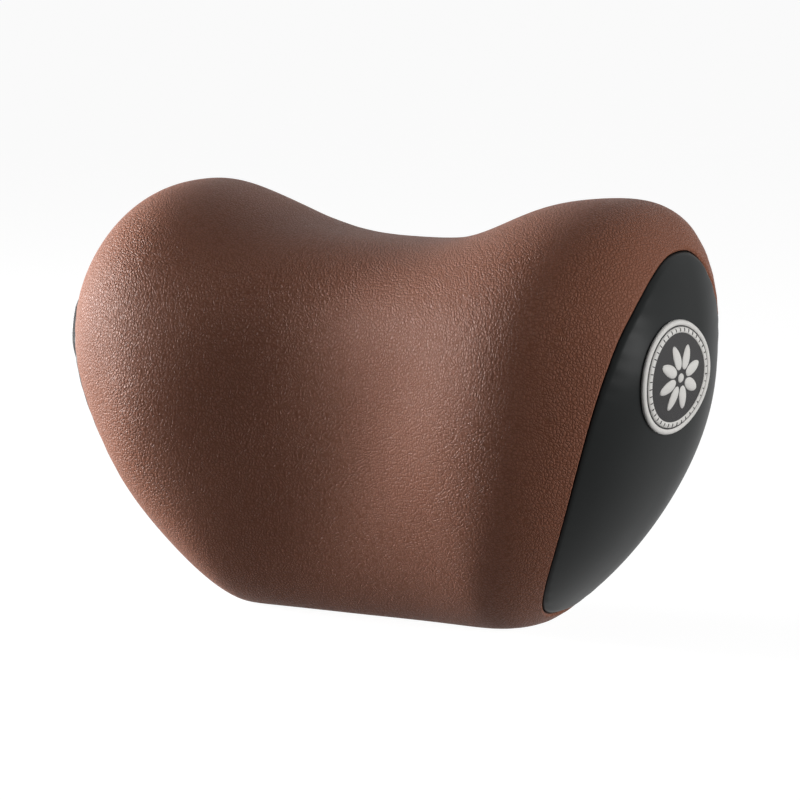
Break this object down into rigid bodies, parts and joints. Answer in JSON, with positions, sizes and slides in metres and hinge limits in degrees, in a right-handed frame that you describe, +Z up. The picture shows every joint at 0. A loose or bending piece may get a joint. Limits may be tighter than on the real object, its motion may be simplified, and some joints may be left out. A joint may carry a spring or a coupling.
{
  "type": "neck massager",
  "caption": "Cordless shiatsu neck massager: saddle-shaped leather pillow with two lobes, dark side panels and a hidden kneading module with rotating heads.",
  "frame": {"origin": "on the ground under the middle of the object's box", "axes": "+X along the length towards the lobe with the round badge, +Y to the back with the strap, +Z up"},
  "size_m": [0.3047, 0.1399, 0.1845],
  "materials": {
    "brown_leather": "pebbled matte",
    "grey_side_cloth": "smooth satin",
    "rear_cloth": "woven matte",
    "badge_rubber": "raised satin",
    "foam": "open-cell foam",
    "mesh_cloth": "knitted mesh",
    "casing_plastic": "fine moulded texture",
    "gear_plastic": "acetal",
    "steel": "zinc-plated",
    "brass": "turned",
    "bronze": "sintered bronze",
    "massage_rubber": "soft satin",
    "disc_plastic": "moulded",
    "motor_steel": "drawn can",
    "battery_wrap": "shrink wrap",
    "board_green": "solder mask",
    "component_black": "moulded",
    "wire_red": "insulation",
    "socket_metal": "plated",
    "grommet_rubber": "matte",
    "bezel_plastic": "satin",
    "light_plastic": "translucent",
    "button_plastic": "satin",
    "strap_webbing": "elastic webbing",
    "buckle_plastic": "moulded",
    "zip_cloth": "woven tape",
    "zip_nylon": "moulded coil",
    "zip_metal": "black lacquer"
  },
  "bodies": {
    "root": {"leather_cover": "brown_leather", "side_panel_right": "grey_side_cloth", "side_panel_left": "grey_side_cloth", "rear_panel": "rear_cloth", "side_badge": "badge_rubber", "foam_core": "foam", "mesh_liner": "mesh_cloth", "rear_shell": "casing_plastic", "front_frame": "casing_plastic", "frame_screws": "steel", "chassis_plate": "casing_plastic", "chassis_screws": "steel", "gearbox_cover": "casing_plastic", "gearbox_screws": "steel", "shaft_bushes": "bronze", "worm_end_bush": "bronze", "motor_body": "motor_steel", "motor_mount": "steel", "motor_screws": "steel", "battery_pack": "battery_wrap", "main_board": "board_green", "board_components": "component_black", "board_screws": "steel", "wire_harness": "wire_red", "charge_socket": "socket_metal", "charge_grommet": "grommet_rubber", "control_bezel": "bezel_plastic", "light_ring": "light_plastic", "switch_base": "casing_plastic", "back_strap": "strap_webbing", "strap_tabs": "strap_webbing", "strap_adjuster": "buckle_plastic", "zip_tape": "zip_cloth", "zip_teeth": "zip_nylon"},
    "rotor_right": {"worm_wheel_right": "gear_plastic", "output_shaft_right": "steel", "kneading_disc_right": "disc_plastic", "disc_screw_right": "steel", "head_pins_right": "steel", "head_screws_right": "steel"},
    "head_right_1": {"massage_head_right_1": "massage_rubber"},
    "head_right_2": {"massage_head_right_2": "massage_rubber"},
    "rotor_left": {"worm_wheel_left": "gear_plastic", "output_shaft_left": "steel", "kneading_disc_left": "disc_plastic", "disc_screw_left": "steel", "head_pins_left": "steel", "head_screws_left": "steel"},
    "head_left_1": {"massage_head_left_1": "massage_rubber"},
    "head_left_2": {"massage_head_left_2": "massage_rubber"},
    "worm": {"worm_shaft": "brass"},
    "button": {"power_button": "button_plastic"},
    "slider": {"zip_slider": "zip_metal"},
    "pull": {"zip_pull": "zip_metal"}
  },
  "joints": [
    {"name": "kneading_spin_right", "type": "hinge", "parent": "root", "child": "rotor_right", "pos_m": [0.048, 0, 0.098], "axis": [0, 1, 0], "continuous": true},
    {"name": "kneading_spin_left", "type": "hinge", "parent": "root", "child": "rotor_left", "pos_m": [-0.048, 0, 0.098], "axis": [0, 1, 0], "continuous": true},
    {"name": "worm_spin", "type": "hinge", "parent": "root", "child": "worm", "pos_m": [0, 0.004, 0.098], "axis": [0, 0, 1], "continuous": true},
    {"name": "head_spin_right_1", "type": "hinge", "parent": "rotor_right", "child": "head_right_1", "pos_m": [0.025, 0, 0.098], "axis": [0, 1, 0], "continuous": true},
    {"name": "head_spin_right_2", "type": "hinge", "parent": "rotor_right", "child": "head_right_2", "pos_m": [0.071, 0, 0.098], "axis": [0, 1, 0], "continuous": true},
    {"name": "head_spin_left_1", "type": "hinge", "parent": "rotor_left", "child": "head_left_1", "pos_m": [-0.048, 0, 0.121], "axis": [0, 1, 0], "continuous": true},
    {"name": "head_spin_left_2", "type": "hinge", "parent": "rotor_left", "child": "head_left_2", "pos_m": [-0.048, 0, 0.075], "axis": [0, 1, 0], "continuous": true},
    {"name": "power_button_press", "type": "slide", "parent": "root", "child": "button", "axis": [0.994, 0.0472, 0.0985], "range_m": [0, 0.0015], "stiffness_N_per_m": 900, "springref_m": -0.0015},
    {"name": "zip_slide", "type": "slide", "parent": "root", "child": "slider", "axis": [1, 0, 0], "range_m": [0, 0.12]},
    {"name": "zip_pull_swing", "type": "hinge", "parent": "slider", "child": "pull", "pos_m": [-0.06, 0.05757, 0.04162], "axis": [1, 0, 0], "range_deg": [-10, 140]}
  ],
  "couplings": [
    {"joint": "kneading_spin_left", "follows": "kneading_spin_right", "ratio": -1},
    {"joint": "worm_spin", "follows": "kneading_spin_right", "ratio": -42}
  ]
}
